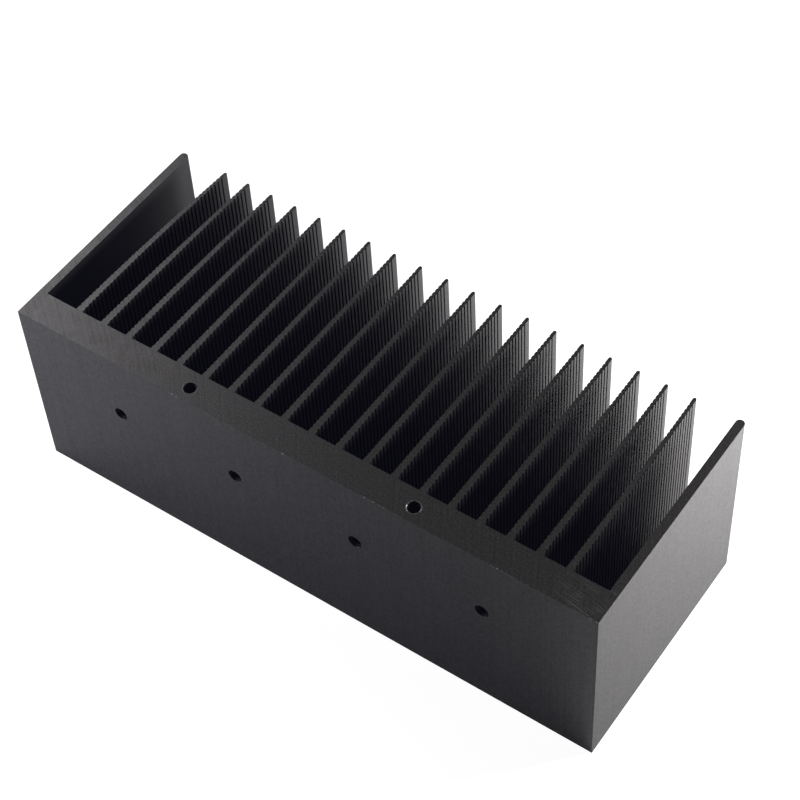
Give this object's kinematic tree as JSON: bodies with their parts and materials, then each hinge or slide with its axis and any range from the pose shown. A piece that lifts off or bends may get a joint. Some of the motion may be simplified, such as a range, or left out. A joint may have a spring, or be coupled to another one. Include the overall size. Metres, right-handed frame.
{
  "type": "plate fin heat sink",
  "caption": "Extruded black anodised heat sink with a flat base plate, ribbed tapered fins between plain side walls, and tapped mounting holes.",
  "frame": {"origin": "middle of the footprint, on the sawn lower end it stands on", "axes": "+X across the fins, +Y from the mounting face to the fin tips, +Z along the extrusion"},
  "size_m": [0.208, 0.082, 0.07],
  "materials": {
    "black_anodised": "satin black anodised extrusion with sawn ends"
  },
  "bodies": {
    "root": {"heat_sink": "black_anodised"}
  },
  "joints": []
}
